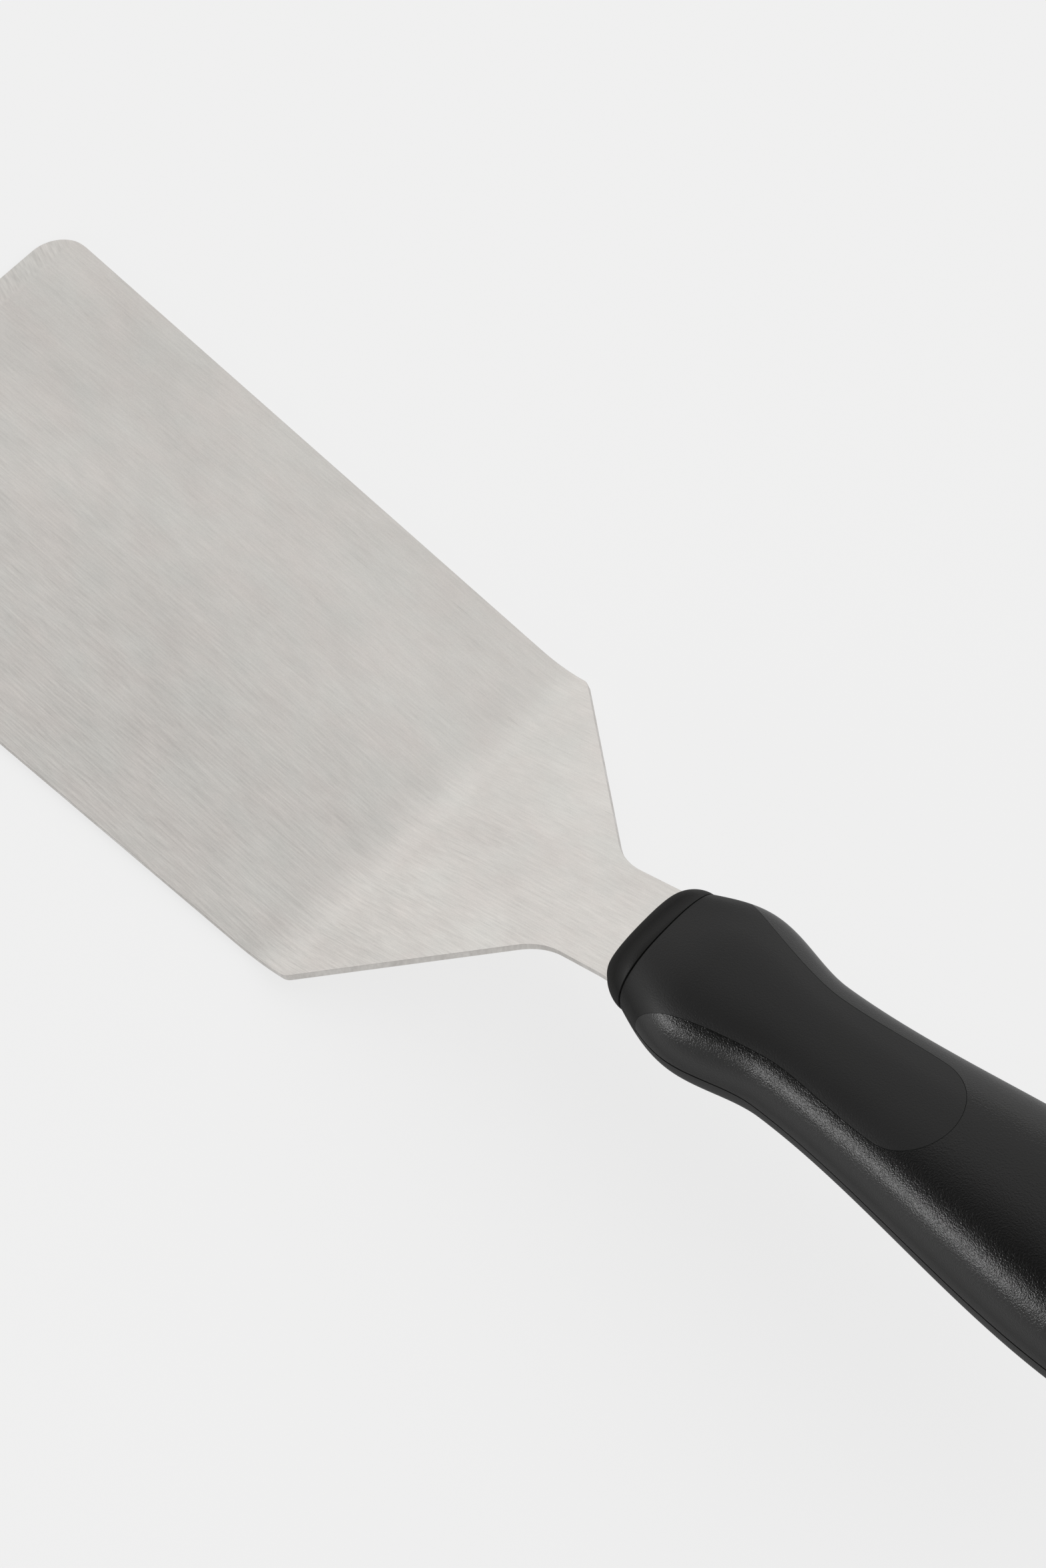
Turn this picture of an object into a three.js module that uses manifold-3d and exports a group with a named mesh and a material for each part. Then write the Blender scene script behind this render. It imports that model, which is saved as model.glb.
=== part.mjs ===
// Griddle turner: one bent stainless sheet, from the ground front edge to the tang, held in a
// moulded handle of three pieces: a domed front collar, a hard core and a soft grip around it.
// Millimetres and degrees. X runs from the blade to the butt of the handle, Y across, Z up.
// The flat underside of the blade lies on Z = 0, under the middle of the whole turner.

import * as THREE from 'three';
import { mergeVertices } from 'three/addons/utils/BufferGeometryUtils.js';
import Module from 'manifold-3d';

// Blade: lengths follow the sheet from its front edge
const sheetThickness = 1.2;
const frontWidth = 80;
const frontCornerRadius = 6.8;
const grindWidth = 4.5;
const grindEdgeThickness = 0.5;
const bendStart = 121.1;
const bendRadius = 22;
const shoulderAngle = 32.5;
const heelDistance = 133.1;
const heelWidth = 72.4;
const heelCornerRadius = 3;
const shoulderLength = 37.7;
const neckWidth = 18.7;
const neckFilletRadius = 14;
const neckLength = 13.4;

// Tang: the part of the sheet inside the handle, measured from the collar joint
const tangBendRadius = 10;
const tangWidth = 12;
const tangShoulderSetback = 4;
const tangShoulderLength = 1.5;
const tangSeatLength = 3.05;
const tangLength = 84;
const tangCornerRadius = 4;
const tangHoleDiameter = 6;
const tangHoleDistances = [24, 62];

// Handle: lengths follow its axis from the collar joint
const handlePitch = 12.4;
const handleLength = 124;
const sectionSquareness = 2.44;
const jointWidth = 22.2;
const jointHeight = 19.3;
const jointLean = 9;
const guardDistance = 11.5;
const guardWidth = 28.4;
const guardHeight = 22.3;
const waistDistance = 27.6;
const waistWidth = 23;
const waistHeight = 21.4;
const palmDistance = 87;
const palmWidth = 33;
const palmHeight = 27.6;
const buttSideRoundness = 2.8;
const buttTopRoundness = 1.8;
const hangHoleSetback = 16;
const hangHoleDiameter = 10;

// Collar
const collarLength = 5.9;
const collarLipWidth = 13;
const collarLipHeight = 3;
const collarSideRoundness = 2.1;
const collarTopRoundness = 2;
const jointGap = 0.4;
const spigotLength = 1.8;

// Soft grip: a ring behind the collar that runs into a pad above and a pad below
const softThickness = 2.2;
const ringLength = 4.1;
const padWaistDistance = 29.7;
const padWaistWidth = 14.2;
const padBulgeDistance = 48.9;
const padBulgeWidth = 16.4;
const padEndDistance = 57.3;

// Clearance between pieces that fit together, and how finely curves are divided
const fitGap = 0.3;
const ringSides = 44;
const ringSpacing = 3.4;
const arcSteps = 8;
const holeSides = 28;
const leastStep = 0.02;
const mergeDistance = 1e-4;

const wasm = await Module();
wasm.setup();

const radians = THREE.MathUtils.degToRad;

// Closed solid from a closed geometry, for joining and cutting
function toSolid(geometry) {
  const bare = geometry.index ? geometry.toNonIndexed() : geometry.clone();
  bare.deleteAttribute('normal');
  bare.deleteAttribute('uv');
  const merged = mergeVertices(bare, mergeDistance);
  const triangles = [];
  for (let i = 0; i < merged.index.count; i += 3) {
    const corners = [0, 1, 2].map((k) => merged.index.getX(i + k));
    if (new Set(corners).size === 3) triangles.push(...corners);
  }
  const mesh = new wasm.Mesh({
    numProp: 3,
    vertProperties: new Float32Array(merged.attributes.position.array),
    triVerts: new Uint32Array(triangles),
  });
  return new wasm.Manifold(mesh);
}

// Named mesh from a finished solid
function toMesh(name, solid, material) {
  const { vertProperties, triVerts } = solid.getMesh();
  const geometry = new THREE.BufferGeometry();
  geometry.setAttribute('position', new THREE.BufferAttribute(vertProperties, 3));
  geometry.setIndex(new THREE.BufferAttribute(triVerts, 1));
  geometry.computeVertexNormals();
  const mesh = new THREE.Mesh(geometry, new THREE.MeshStandardMaterial(material));
  mesh.name = name;
  return mesh;
}

// Loft: skin over rings of equal point count, closed by a fan at each end.
// The rings run along +X and each goes round from +Y towards +Z.
function loft(rings) {
  const sides = rings[0].length;
  const points = rings.flat();
  const ends = [rings[0], rings[rings.length - 1]];
  for (const ring of ends) {
    const middle = new THREE.Vector3();
    ring.forEach((point) => middle.add(point));
    points.push(middle.divideScalar(sides));
  }
  const firstMiddle = points.length - 2;
  const lastMiddle = points.length - 1;
  const lastRing = (rings.length - 1) * sides;
  const index = [];
  for (let side = 0; side < sides; side++) {
    const next = (side + 1) % sides;
    for (let row = 0; row < lastRing; row += sides) {
      index.push(row + side, row + next, row + sides + side);
      index.push(row + next, row + sides + next, row + sides + side);
    }
    index.push(firstMiddle, next, side);
    index.push(lastMiddle, lastRing + side, lastRing + next);
  }
  const geometry = new THREE.BufferGeometry().setFromPoints(points);
  geometry.setIndex(index);
  return geometry;
}

// Evenly spaced values from one to another, both included
function spread(from, to, steps) {
  return Array.from({ length: steps + 1 }, (_, i) => THREE.MathUtils.lerp(from, to, i / steps));
}

// Half outline of the flat sheet: corners as [distance, half width, corner radius]
function roundedOutline(corners) {
  const outline = [];
  corners.forEach(([x, y, radius], i) => {
    const corner = new THREE.Vector2(x, y);
    if (!radius) {
      outline.push(corner);
      return;
    }
    const back = new THREE.Vector2(...corners[i - 1]).sub(corner).normalize();
    const ahead = new THREE.Vector2(...corners[i + 1]).sub(corner).normalize();
    const halfTurn = (Math.PI - Math.acos(back.dot(ahead))) / 2;
    const reach = radius * Math.tan(halfTurn);
    const inward = back.clone().add(ahead).normalize();
    const centre = inward.multiplyScalar(radius / Math.cos(halfTurn)).add(corner);
    const from = back.multiplyScalar(reach).add(corner).sub(centre).angle();
    const to = ahead.multiplyScalar(reach).add(corner).sub(centre).angle();
    const sweep = Math.atan2(Math.sin(to - from), Math.cos(to - from));
    for (const turn of spread(0, sweep, arcSteps)) {
      const arm = new THREE.Vector2(radius, 0).rotateAround(new THREE.Vector2(), from + turn);
      outline.push(arm.add(centre));
    }
  });
  return outline;
}

const neckDistance = heelDistance + shoulderLength;
const tangBendDistance = neckDistance + neckLength;
const tangTurn = radians(shoulderAngle - handlePitch);
const jointDistance = tangBendDistance + tangBendRadius * tangTurn + tangSeatLength;

// Place and slope of the sheet's middle plane at a distance from the front edge
function middlePlane(distance) {
  const legs = [
    { length: bendStart, turn: 0 },
    { length: bendRadius * radians(shoulderAngle), turn: radians(shoulderAngle) },
    { length: tangBendDistance - bendStart - bendRadius * radians(shoulderAngle), turn: 0 },
    { length: tangBendRadius * tangTurn, turn: -tangTurn },
    { length: Infinity, turn: 0 },
  ];
  const place = { x: 0, z: sheetThickness / 2, slope: 0 };
  let left = distance;
  for (const { length, turn } of legs) {
    const run = Math.min(left, length);
    const turned = turn * run / length;
    const chord = turned ? run * Math.sin(turned / 2) / (turned / 2) : run;
    place.x += chord * Math.cos(place.slope + turned / 2);
    place.z += chord * Math.sin(place.slope + turned / 2);
    place.slope += turned;
    left -= run;
  }
  return place;
}

// Frame of the handle: its origin is on the collar joint, in the middle of the tang
const joint = middlePlane(jointDistance);
const handle = new THREE.Group();
handle.position.set(joint.x, 0, joint.z);
handle.rotation.y = -joint.slope;
handle.updateMatrix();
const intoHandle = handle.matrix.clone().invert();

// Bent sheet, from the front edge to the tang's end; grown on every side it cuts its own slot
function sheetGeometry(grow = 0) {
  const tangEnd = jointDistance + tangLength;
  const corners = [
    [0, 0, 0],
    [0, frontWidth / 2, frontCornerRadius],
    [heelDistance, heelWidth / 2, heelCornerRadius],
    [neckDistance, neckWidth / 2, neckFilletRadius],
    [jointDistance - tangShoulderSetback, neckWidth / 2, 0],
    [jointDistance - tangShoulderSetback + tangShoulderLength, tangWidth / 2, 0],
    [tangEnd, tangWidth / 2, tangCornerRadius],
    [tangEnd, 0, 0],
  ];
  const outline = roundedOutline(corners).slice(1, -1);
  const halfWidthAt = (distance) => {
    const i = Math.max(1, outline.findIndex(({ x }) => x >= distance));
    const [a, b] = [outline[i - 1], outline[i]];
    const share = b.x > a.x ? THREE.MathUtils.clamp((distance - a.x) / (b.x - a.x), 0, 1) : 1;
    return THREE.MathUtils.lerp(a.y, b.y, share);
  };
  const bendEnd = bendStart + bendRadius * radians(shoulderAngle);
  const distances = [
    ...outline.map(({ x }) => x),
    grindWidth,
    ...spread(bendStart, bendEnd, arcSteps),
    ...spread(tangBendDistance, jointDistance - tangSeatLength, arcSteps),
  ].sort((a, b) => a - b).filter((distance, i, all) => i === 0 || distance - all[i - 1] > leastStep);
  const rings = distances.map((distance, i) => {
    const { x, z, slope } = middlePlane(distance);
    const halfWidth = halfWidthAt(distance) + grow;
    const ground = Math.min(distance / grindWidth, 1);
    const thickness = THREE.MathUtils.lerp(grindEdgeThickness, sheetThickness, ground);
    const top = thickness - sheetThickness / 2 + grow;
    const bottom = -sheetThickness / 2 - grow;
    const ahead = i === distances.length - 1 ? grow : 0;
    const at = (side, up) => new THREE.Vector3(
      x + ahead * Math.cos(slope) - up * Math.sin(slope),
      side * halfWidth,
      z + ahead * Math.sin(slope) + up * Math.cos(slope),
    );
    return [at(1, top), at(-1, top), at(-1, bottom), at(1, bottom)];
  });
  return loft(rings);
}

// Holes of the tang, which the core's pegs fill
function tangHoles(diameter) {
  return tangHoleDistances.map((distance) => {
    const hole = new THREE.CylinderGeometry(diameter / 2, diameter / 2, jointHeight, holeSides);
    return hole.rotateX(Math.PI / 2).translate(distance, 0, 0);
  });
}

// Value that eases between stations given as [distance, value]: it rises off the first one at a
// slope and is level at all the others
function easedAlong(stations, distance) {
  const at = stations.findIndex(([station]) => station >= distance);
  if (at === 0) return stations[0][1];
  if (at === -1) return stations[stations.length - 1][1];
  const [[from, low], [to, high]] = [stations[at - 1], stations[at]];
  const share = (distance - from) / (to - from);
  const eased = at === 1 ? Math.sin(share * Math.PI / 2) : THREE.MathUtils.smoothstep(share, 0, 1);
  return THREE.MathUtils.lerp(low, high, eased);
}

const handleWidths = [
  [0, jointWidth], [guardDistance, guardWidth], [waistDistance, waistWidth], [palmDistance, palmWidth],
];
const handleHeights = [
  [0, jointHeight], [guardDistance, guardHeight], [waistDistance, waistHeight], [palmDistance, palmHeight],
];

// Rounded-box ring across the handle's axis; its top leans back where the joint's plane does
function sectionRing(distance, width, height, lean = 0) {
  const bulge = (value) => Math.sign(value) * Math.abs(value) ** (2 / sectionSquareness);
  return Array.from({ length: ringSides }, (_, i) => {
    const angle = i / ringSides * 2 * Math.PI;
    const y = width / 2 * bulge(Math.cos(angle));
    const z = height / 2 * bulge(Math.sin(angle));
    return new THREE.Vector3(distance + z * Math.tan(radians(lean)), y, z);
  });
}

// Rounding towards an end: 1 at its start, 0 at its tip
function roundOff(share, roundness) {
  return (1 - share ** roundness) ** (1 / roundness);
}

// Whole outer form of the handle behind the joint, or the same form some depth under its surface
function handleGeometry(from, to, depth = 0) {
  const last = Math.min(to, palmDistance);
  const distances = spread(from, last, Math.ceil((last - from) / ringSpacing));
  if (to > palmDistance) {
    const turns = spread(0, Math.PI / 2, 2 * arcSteps).slice(1, -1);
    distances.push(...turns.map((turn) => palmDistance + (to - palmDistance) * Math.sin(turn)));
  }
  const rings = distances.map((distance) => {
    const share = Math.max(0, (distance - palmDistance) / (handleLength - palmDistance));
    const width = easedAlong(handleWidths, distance) * roundOff(share, buttSideRoundness) - 2 * depth;
    const height = easedAlong(handleHeights, distance) * roundOff(share, buttTopRoundness) - 2 * depth;
    const lean = jointLean * Math.max(0, 1 - distance / guardDistance);
    return sectionRing(distance, width, height, lean);
  });
  return loft(rings);
}

// Zone of the soft grip seen from above: full width over the ring, then a waisted pad
function gripZone(grow = 0) {
  const side = guardWidth;
  const waist = padWaistWidth / 2 + grow;
  const bulge = padBulgeWidth / 2 + grow;
  const ringEnd = ringLength + grow;
  const ringEdge = guardWidth / 2;
  const zone = new THREE.Shape();
  zone.moveTo(-side, -side);
  zone.lineTo(ringEnd, -side);
  zone.lineTo(ringEnd, -ringEdge);
  const arrive = (padWaistDistance - ringEnd) / 4;
  const swing = (padBulgeDistance - padWaistDistance) / 3;
  const drop = (ringEdge - waist) / 3;
  zone.bezierCurveTo(
    ringEnd, -ringEdge + drop, padWaistDistance - arrive, -waist, padWaistDistance, -waist);
  zone.bezierCurveTo(
    padWaistDistance + swing, -waist, padBulgeDistance - swing, -bulge, padBulgeDistance, -bulge);
  const noseLength = padEndDistance + grow - padBulgeDistance;
  zone.absellipse(padBulgeDistance, 0, noseLength, bulge, -Math.PI / 2, Math.PI / 2);
  zone.bezierCurveTo(
    padBulgeDistance - swing, bulge, padWaistDistance + swing, waist, padWaistDistance, waist);
  zone.bezierCurveTo(
    padWaistDistance - arrive, waist, ringEnd, ringEdge - drop, ringEnd, ringEdge);
  zone.lineTo(ringEnd, side);
  zone.lineTo(-side, side);
  zone.closePath();
  const depth = 2 * guardWidth;
  const prism = new THREE.ExtrudeGeometry(zone, { depth, bevelEnabled: false, curveSegments: arcSteps });
  return toSolid(prism.translate(0, 0, -depth / 2));
}

// Domed collar: closes from the handle's section at the joint down to a lip round the neck
function collarGeometry() {
  const rings = spread(0, 1, arcSteps).map((step) => {
    const share = Math.cos(step * Math.PI / 2);
    const width = THREE.MathUtils.lerp(collarLipWidth, jointWidth, roundOff(share, collarSideRoundness));
    const height = THREE.MathUtils.lerp(collarLipHeight, jointHeight, roundOff(share, collarTopRoundness));
    return sectionRing(-jointGap - (collarLength - jointGap) * share, width, height, jointLean);
  });
  return loft(rings);
}

// Core inside the soft grip, with the spigot that carries the collar
function spigotGeometry(depth, length) {
  const inside = handleGeometry(0, padEndDistance + softThickness, depth);
  const front = sectionRing(-length, jointWidth - 2 * depth, jointHeight - 2 * depth);
  const back = sectionRing(softThickness, jointWidth - 2 * depth, jointHeight - 2 * depth);
  return toSolid(inside).add(toSolid(loft([front, back])));
}

const steel = { color: 0xc6c5c1, roughness: 0.36, metalness: 1 };
const hardBlack = { color: 0x19191a, roughness: 0.45, metalness: 0 };
const collarBlack = { color: 0x242425, roughness: 0.6, metalness: 0 };
const softBlack = { color: 0x2b2b2c, roughness: 0.8, metalness: 0 };

function makeBlade() {
  const holes = tangHoles(tangHoleDiameter).map((hole) => toSolid(hole.applyMatrix4(handle.matrix)));
  const sheet = holes.reduce((left, hole) => left.subtract(hole), toSolid(sheetGeometry()));
  return toMesh('blade', sheet, steel);
}

// Slot that the sheet needs in the handle, with the pegs of the tang's holes left standing
function sheetSlot() {
  const slot = toSolid(sheetGeometry(fitGap).applyMatrix4(intoHandle));
  const pegs = tangHoles(tangHoleDiameter - 2 * fitGap).map(toSolid);
  return pegs.reduce((left, peg) => left.subtract(peg), slot);
}

function makeCollar() {
  const socket = spigotGeometry(softThickness, spigotLength + fitGap);
  const collar = toSolid(collarGeometry()).subtract(socket).subtract(sheetSlot());
  return toMesh('front_collar', collar, collarBlack);
}

function makeCore() {
  const radius = hangHoleDiameter / 2;
  const hang = new THREE.CylinderGeometry(radius, radius, palmHeight, holeSides);
  hang.rotateX(Math.PI / 2).translate(handleLength - hangHoleSetback, 0, 0);
  const core = toSolid(handleGeometry(0, handleLength))
    .subtract(gripZone(fitGap))
    .add(spigotGeometry(softThickness + fitGap, spigotLength))
    .subtract(sheetSlot())
    .subtract(toSolid(hang));
  return toMesh('handle_core', core, hardBlack);
}

function makeGrip() {
  const grip = toSolid(handleGeometry(0, handleLength))
    .intersect(gripZone())
    .subtract(spigotGeometry(softThickness, spigotLength));
  return toMesh('soft_grip', grip, softBlack);
}

handle.add(makeCollar(), makeCore(), makeGrip());
const turner = new THREE.Group();
turner.add(makeBlade(), handle);

// The origin goes under the middle of the whole turner
const extent = new THREE.Box3().setFromObject(turner, true);
turner.position.x = -(extent.min.x + extent.max.x) / 2;

export default turner;
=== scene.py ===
# %% [markdown]
# # A griddle turner
# A turner is one bent stainless sheet with a handle moulded on to its tang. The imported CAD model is
# the frame: it gives every piece its place. Here each piece is modelled again with fine curves and
# gets its finish, inside the space that the CAD solid holds.

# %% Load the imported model
import math

import bmesh
import bpy
from mathutils import Matrix, Vector
from mathutils.geometry import interpolate_bezier


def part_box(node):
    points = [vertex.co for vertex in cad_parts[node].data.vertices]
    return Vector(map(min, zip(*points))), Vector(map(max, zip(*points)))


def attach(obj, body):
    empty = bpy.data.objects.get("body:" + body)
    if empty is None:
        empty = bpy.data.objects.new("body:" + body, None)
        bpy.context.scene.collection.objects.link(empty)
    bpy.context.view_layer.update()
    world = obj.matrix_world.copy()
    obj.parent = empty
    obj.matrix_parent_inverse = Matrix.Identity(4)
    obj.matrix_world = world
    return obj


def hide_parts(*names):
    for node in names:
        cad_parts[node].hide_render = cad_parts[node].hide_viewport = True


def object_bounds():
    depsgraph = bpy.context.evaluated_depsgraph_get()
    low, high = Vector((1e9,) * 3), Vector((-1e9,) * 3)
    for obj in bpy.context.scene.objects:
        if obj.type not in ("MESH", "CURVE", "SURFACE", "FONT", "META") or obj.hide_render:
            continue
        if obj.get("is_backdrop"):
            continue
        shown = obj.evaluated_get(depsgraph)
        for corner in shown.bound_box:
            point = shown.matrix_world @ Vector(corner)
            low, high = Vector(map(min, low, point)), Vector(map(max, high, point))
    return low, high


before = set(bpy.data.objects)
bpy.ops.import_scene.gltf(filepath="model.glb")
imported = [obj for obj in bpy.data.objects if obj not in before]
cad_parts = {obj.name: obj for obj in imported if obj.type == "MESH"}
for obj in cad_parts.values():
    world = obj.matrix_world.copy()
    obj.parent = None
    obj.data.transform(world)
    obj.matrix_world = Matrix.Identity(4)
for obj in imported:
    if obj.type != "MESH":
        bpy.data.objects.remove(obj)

cad_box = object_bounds()
MM = 0.001
scene = bpy.context.scene
print("nodes:", sorted(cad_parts))

# %% [markdown]
# ## Camera
# The photograph looks down on the turner from beyond the butt of the handle. The camera's place and
# its three directions were worked out from the straight edges of the blade. A long lens keeps the
# blade's edges nearly parallel, as they are in the picture.

# %% Place the camera
blade_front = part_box("blade")[0].x
SHEET = 1.2 * MM
eye = Vector((blade_front + 298.968 * MM, -158.414 * MM, 526.941 * MM + SHEET))
look_right = Vector((0.730695, 0.682704, 0.000440))
look_up = Vector((-0.622030, 0.665491, 0.412553))
look_back = Vector((0.281359, -0.301724, 0.910933))

camera = bpy.data.objects.new("photo_camera", bpy.data.cameras.new("photo_camera"))
scene.collection.objects.link(camera)
camera.data.sensor_width = 36.0
camera.data.lens = 79.66
camera.data.clip_start = 0.01
turn = Matrix((look_right, look_up, look_back)).transposed().to_4x4()
camera.matrix_world = Matrix.Translation(eye) @ turn
scene.camera = camera
print("camera at", tuple(round(v, 3) for v in eye))

# %% [markdown]
# ## Floor and light
# Black plastic shows what is around it more than any lamp, so the world is built like a studio
# tent: pale near the floor all round and dimmer overhead on the near side. A wide sun from the
# right gives a soft shadow. Two low strip lights, one near and one far, draw the bright bands along
# the handle. The floor is pale paper that keeps an even tone.


# %% Node helper
def add_node(tree, kind, inputs=None, **settings):
    """A new node with its settings; inputs sets the values of its own sockets."""
    node = tree.nodes.new(kind)
    for name, value in settings.items():
        setattr(node, name, value)
    for name, value in (inputs or {}).items():
        node.inputs[name].default_value = value
    return node


def wire(tree, *pairs):
    """Links pairs of sockets, each as (output, input)."""
    for out_socket, in_socket in pairs:
        tree.links.new(out_socket, in_socket)


print("node helpers ready")

# %% Build the world
TENT_LEVEL = 1.01
dim_side = Vector((-0.30, -0.72, 0.62)).normalized()
world = bpy.data.worlds.new("studio_tent")
scene.world = world
world.use_nodes = True
tent = world.node_tree
tent.nodes.clear()
ray = add_node(tent, "ShaderNodeTexCoord")
facing = add_node(tent, "ShaderNodeVectorMath", {1: dim_side}, operation="DOT_PRODUCT")
slope_off = add_node(tent, "ShaderNodeMapRange", {
    "From Min": -1.0, "From Max": 1.0, "To Min": 3.42, "To Max": 0.0})
no_glare = add_node(tent, "ShaderNodeMath", {1: TENT_LEVEL}, operation="MINIMUM")
ray_parts = add_node(tent, "ShaderNodeSeparateXYZ")
above = add_node(tent, "ShaderNodeMapRange", {"From Min": 0.20, "From Max": 0.62},
                 interpolation_type="SMOOTHSTEP")
level = add_node(tent, "ShaderNodeMix", {"A": TENT_LEVEL}, data_type="FLOAT")
cloth = add_node(tent, "ShaderNodeBackground", {"Color": (1.0, 0.998, 0.992, 1.0)})
tent_out = add_node(tent, "ShaderNodeOutputWorld")
wire(
    tent,
    (ray.outputs["Generated"], facing.inputs[0]),
    (facing.outputs["Value"], slope_off.inputs["Value"]),
    (slope_off.outputs["Result"], no_glare.inputs[0]),
    (ray.outputs["Generated"], ray_parts.inputs["Vector"]),
    (ray_parts.outputs["Z"], above.inputs["Value"]),
    (above.outputs["Result"], level.inputs["Factor"]),
    (no_glare.outputs["Value"], level.inputs["B"]),
    (level.outputs["Result"], cloth.inputs["Strength"]),
    (cloth.outputs["Background"], tent_out.inputs["Surface"]),
)
scene.view_settings.view_transform = "Standard"
print("world:", world.name)


# %% Add the lamps
def add_lamp(name, kind, towards, energy):
    """A linked lamp whose light leaves along a direction."""
    lamp = bpy.data.objects.new(name, bpy.data.lights.new(name, kind))
    lamp.data.energy = energy
    lamp.rotation_euler = Vector(towards).to_track_quat("-Z", "Y").to_euler()
    scene.collection.objects.link(lamp)
    return lamp


STRIP_AIM = Vector((0.0, 0.0, 0.045))
key = add_lamp("key_sun", "SUN", (-0.60, -0.38, -0.70), 0.35)
key.data.angle = math.radians(60)
strips = []
for name, place, size, energy in (
    ("near_strip", Vector((-0.68, -1.22, 0.235)), (0.60, 0.34), 5.9),
    ("far_strip", Vector((-0.40, 1.15, 0.25)), (1.00, 0.40), 0.7),
):
    strip_lamp = add_lamp(name, "AREA", STRIP_AIM - place, energy)
    strip_lamp.data.shape = "RECTANGLE"
    strip_lamp.data.size, strip_lamp.data.size_y = size
    strip_lamp.location = place
    strips.append(strip_lamp)
print("lamps:", key.name, [lamp.name for lamp in strips])

# %% Lay the floor
PALE = (0.903, 0.903, 0.903, 1.0)
FLOOR_HALF = 20.0
FLOOR_DROP = 0.1 * MM
floor_bm = bmesh.new()
bmesh.ops.create_grid(floor_bm, x_segments=1, y_segments=1, size=FLOOR_HALF)
bmesh.ops.translate(floor_bm, verts=floor_bm.verts, vec=(0, 0, -FLOOR_DROP))
floor_mesh = bpy.data.meshes.new("floor")
floor_bm.to_mesh(floor_mesh)
floor_bm.free()
floor = bpy.data.objects.new("floor", floor_mesh)
scene.collection.objects.link(floor)
floor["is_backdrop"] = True
print("floor at", floor_mesh.vertices[0].co.z)

# %% Floor paper
EVEN_SHARE = 0.80
paper = bpy.data.materials.new("pale_paper")
paper.use_nodes = True
sheet_tree = paper.node_tree
sheet_tree.nodes.clear()
matte = add_node(sheet_tree, "ShaderNodeBsdfDiffuse", {"Color": PALE})
even = add_node(sheet_tree, "ShaderNodeEmission", {"Color": PALE})
seen = add_node(sheet_tree, "ShaderNodeLightPath")
seen_or_mirrored = add_node(sheet_tree, "ShaderNodeMath", operation="ADD")
seen_at_all = add_node(sheet_tree, "ShaderNodeMath", operation="ADD")
even_share = add_node(sheet_tree, "ShaderNodeMath", {1: EVEN_SHARE}, operation="MULTIPLY")
paper_mix = add_node(sheet_tree, "ShaderNodeMixShader")
paper_out = add_node(sheet_tree, "ShaderNodeOutputMaterial")
wire(
    sheet_tree,
    (seen.outputs["Is Camera Ray"], seen_or_mirrored.inputs[0]),
    (seen.outputs["Is Glossy Ray"], seen_or_mirrored.inputs[1]),
    (seen_or_mirrored.outputs["Value"], seen_at_all.inputs[0]),
    (seen.outputs["Is Transmission Ray"], seen_at_all.inputs[1]),
    (seen_at_all.outputs["Value"], even_share.inputs[0]),
    (even_share.outputs["Value"], paper_mix.inputs["Fac"]),
    (matte.outputs["BSDF"], paper_mix.inputs[1]),
    (even.outputs["Emission"], paper_mix.inputs[2]),
    (paper_mix.outputs["Shader"], paper_out.inputs["Surface"]),
)
floor_mesh.materials.append(paper)
print("floor material:", paper.name)

# %% [markdown]
# ## The sheet's path
# The blade, its shoulder and the tang are one strip of steel bent twice. A function that follows
# the middle of the sheet gives the place and the slope at any length from the front edge, so the
# blade and the handle agree about where the tang runs.

# %% Follow the sheet
FRONT_HALF = 40.0 * MM
FRONT_CORNER = 6.8 * MM
GRIND_WIDTH = 4.5 * MM
GRIND_EDGE = 0.5 * MM
BEND_START = 121.1 * MM
BEND_RADIUS = 22.0 * MM
SHOULDER_ANGLE = math.radians(32.5)
HEEL = 133.1 * MM
HEEL_HALF = 36.2 * MM
HEEL_CORNER = 3.0 * MM
NECK = HEEL + 37.7 * MM
NECK_HALF = 9.35 * MM
NECK_FILLET = 14.0 * MM
TANG_BEND = NECK + 13.4 * MM
TANG_BEND_RADIUS = 10.0 * MM
PITCH = math.radians(12.4)
TANG_TURN = SHOULDER_ANGLE - PITCH
BEND_TO_JOINT = 3.05 * MM
JOINT = TANG_BEND + TANG_BEND_RADIUS * TANG_TURN + BEND_TO_JOINT
BEND_LENGTH = BEND_RADIUS * SHOULDER_ANGLE
TANG_LENGTH = 84.0 * MM
TANG_HALF = 6.0 * MM
TANG_CORNER = 4.0 * MM
NARROW_FROM, NARROW_TO = JOINT - 4.0 * MM, JOINT - 2.5 * MM


def sheet_place(distance):
    """Place (x, z) and slope of the sheet's middle at a distance from the front edge."""
    legs = (
        (BEND_START, 0.0),
        (BEND_LENGTH, SHOULDER_ANGLE),
        (TANG_BEND - BEND_START - BEND_LENGTH, 0.0),
        (TANG_BEND_RADIUS * TANG_TURN, -TANG_TURN),
        (1.0, 0.0),
    )
    x, z, slope, left = blade_front, SHEET / 2, 0.0, distance
    for length, turn_angle in legs:
        run = min(left, length)
        turned = turn_angle * run / length
        chord = run * math.sin(turned / 2) / (turned / 2) if turned else run
        x += chord * math.cos(slope + turned / 2)
        z += chord * math.sin(slope + turned / 2)
        slope += turned
        left -= run
    return x, z, slope


joint_x, joint_z, _ = sheet_place(JOINT)
HANDLE = Matrix.Translation((joint_x, 0, joint_z)) @ Matrix.Rotation(-PITCH, 4, "Y")
print("collar joint at", round(joint_x, 4), round(joint_z, 4))

# %% [markdown]
# ## Tubes from one ring
# Every piece here is a skin over rings: the sheet has a ring of four corners, the handle a rounded
# ring of many. One helper draws a circle, extrudes it once for each station and then moves every
# point to where its angle and its station put it. That keeps clean quads all along the piece.


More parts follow.
